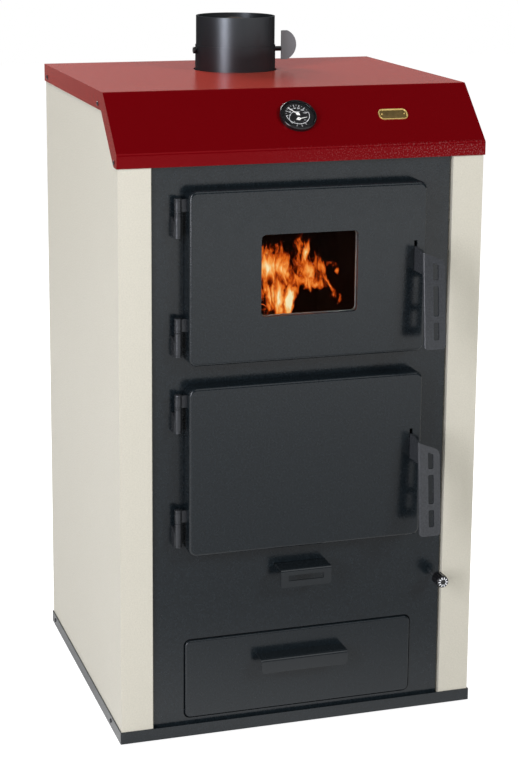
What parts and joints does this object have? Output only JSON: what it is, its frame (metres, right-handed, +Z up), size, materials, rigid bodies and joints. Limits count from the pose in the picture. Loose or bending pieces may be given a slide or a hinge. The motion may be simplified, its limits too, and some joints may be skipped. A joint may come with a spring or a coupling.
{
  "type": "wood stove with back boiler",
  "caption": "Free-standing wood stove with back boiler: sloped enamel lid with gauge, glazed fire door, blind lower door, ash drawer, grate shaker, air control and flue damper.",
  "frame": {"origin": "on the floor, under the middle of the footprint from the door grips to the ends of the water sockets", "axes": "+Z up, -Y to the front with the doors, +X to the right as seen from the front"},
  "size_m": [0.584, 0.6372, 1.09],
  "materials": {
    "red_enamel": "gloss",
    "cream_paint": "satin",
    "charcoal_paint": "satin",
    "handle_black": "satin",
    "boiler_plate": "matte",
    "zinc_sheet": "satin",
    "bright_steel": "satin",
    "flue_black": "satin",
    "grate_iron": "matte",
    "fire_board": "matte",
    "brass": "satin",
    "copper_tube": "satin",
    "seal_rope": "woven",
    "window_glass": "clear",
    "gauge_black": "gloss",
    "dial_black": "matte",
    "needle_white": "matte",
    "knob_plastic": "gloss"
  },
  "bodies": {
    "cabinet": {"base_frame": "charcoal_paint", "levelling_feet": "zinc_sheet", "left_side_panel": "cream_paint", "right_side_panel": "cream_paint", "rear_panel": "zinc_sheet", "front_plate": "charcoal_paint", "top_lid": "red_enamel", "lid_screws": "handle_black", "base_screws": "handle_black", "ash_pit": "boiler_plate", "jacket_front": "boiler_plate", "jacket_left": "boiler_plate", "jacket_right": "boiler_plate", "jacket_back": "boiler_plate", "jacket_top": "boiler_plate", "baffle_plate": "boiler_plate", "firebricks": "fire_board", "grate_frame": "grate_iron", "flue_spigot": "flue_black", "flow_socket": "boiler_plate", "return_socket": "boiler_plate", "drain_plug": "brass", "sensor_pocket": "brass", "capillary_tube": "copper_tube", "air_inlet_box": "zinc_sheet", "latch_strikes": "bright_steel", "fixed_knuckles": "handle_black", "hinge_pins": "bright_steel", "gauge_case": "gauge_black", "gauge_dial": "dial_black", "gauge_glass": "window_glass"},
    "upper_door": {"upper_door_shell": "charcoal_paint", "upper_door_knuckles": "handle_black", "upper_door_liner": "boiler_plate", "upper_door_rope": "seal_rope", "window_gasket": "seal_rope", "window_glass": "window_glass", "window_frame": "zinc_sheet", "upper_latch_pin": "bright_steel"},
    "upper_latch": {"upper_latch_lever": "handle_black"},
    "lower_door": {"lower_door_shell": "charcoal_paint", "lower_door_knuckles": "handle_black", "lower_door_liner": "boiler_plate", "lower_door_rope": "seal_rope", "lower_door_insulation": "fire_board", "lower_latch_pin": "bright_steel"},
    "lower_latch": {"lower_latch_lever": "handle_black"},
    "ash_drawer": {"drawer_front": "charcoal_paint", "drawer_handle": "handle_black", "drawer_tray": "zinc_sheet"},
    "grate_shaker": {"shaker_pull": "charcoal_paint", "moving_grate": "grate_iron"},
    "air_control": {"air_knob": "knob_plastic", "air_rod": "bright_steel", "air_slide": "zinc_sheet"},
    "flue_damper": {"damper_spindle": "bright_steel", "damper_disc": "grate_iron", "damper_handle": "handle_black"},
    "temperature_pointer": {"temperature_needle": "needle_white"},
    "pressure_pointer": {"pressure_needle": "needle_white"}
  },
  "joints": [
    {"name": "upper_door_hinge", "type": "hinge", "parent": "cabinet", "child": "upper_door", "pos_m": [-0.2, -0.25241, 0.735], "axis": [0, 0, -1], "range_deg": [0, 110]},
    {"name": "lower_door_hinge", "type": "hinge", "parent": "cabinet", "child": "lower_door", "pos_m": [-0.2, -0.25241, 0.438], "axis": [0, 0, -1], "range_deg": [0, 110]},
    {"name": "upper_latch_pivot", "type": "hinge", "parent": "upper_door", "child": "upper_latch", "pos_m": [0.1693, -0.25441, 0.7493], "axis": [-1, 0, 0], "range_deg": [0, 22]},
    {"name": "lower_latch_pivot", "type": "hinge", "parent": "lower_door", "child": "lower_latch", "pos_m": [0.1693, -0.25441, 0.4523], "axis": [-1, 0, 0], "range_deg": [0, 22]},
    {"name": "drawer_slide", "type": "slide", "parent": "cabinet", "child": "ash_drawer", "axis": [0, -1, 0], "range_m": [0, 0.32]},
    {"name": "shaker_slide", "type": "slide", "parent": "cabinet", "child": "grate_shaker", "axis": [0, -1, 0], "range_m": [0, 0.032]},
    {"name": "air_control_slide", "type": "slide", "parent": "cabinet", "child": "air_control", "axis": [0, -1, 0], "range_m": [0, 0.04]},
    {"name": "damper_turn", "type": "hinge", "parent": "cabinet", "child": "flue_damper", "pos_m": [0, 0.12159, 1.034], "axis": [1, 0, 0], "range_deg": [-90, 90]},
    {"name": "temperature_pointer_turn", "type": "hinge", "parent": "cabinet", "child": "temperature_pointer", "pos_m": [0, -0.20272, 0.96609], "axis": [0, -0.6874, 0.7263], "range_deg": [-153, 57], "stiffness_Nm_per_rad": 0.00002},
    {"name": "pressure_pointer_turn", "type": "hinge", "parent": "cabinet", "child": "pressure_pointer", "pos_m": [0, -0.20925, 0.9599], "axis": [0, -0.6874, 0.7263], "range_deg": [-204, 0], "stiffness_Nm_per_rad": 0.00002}
  ]
}
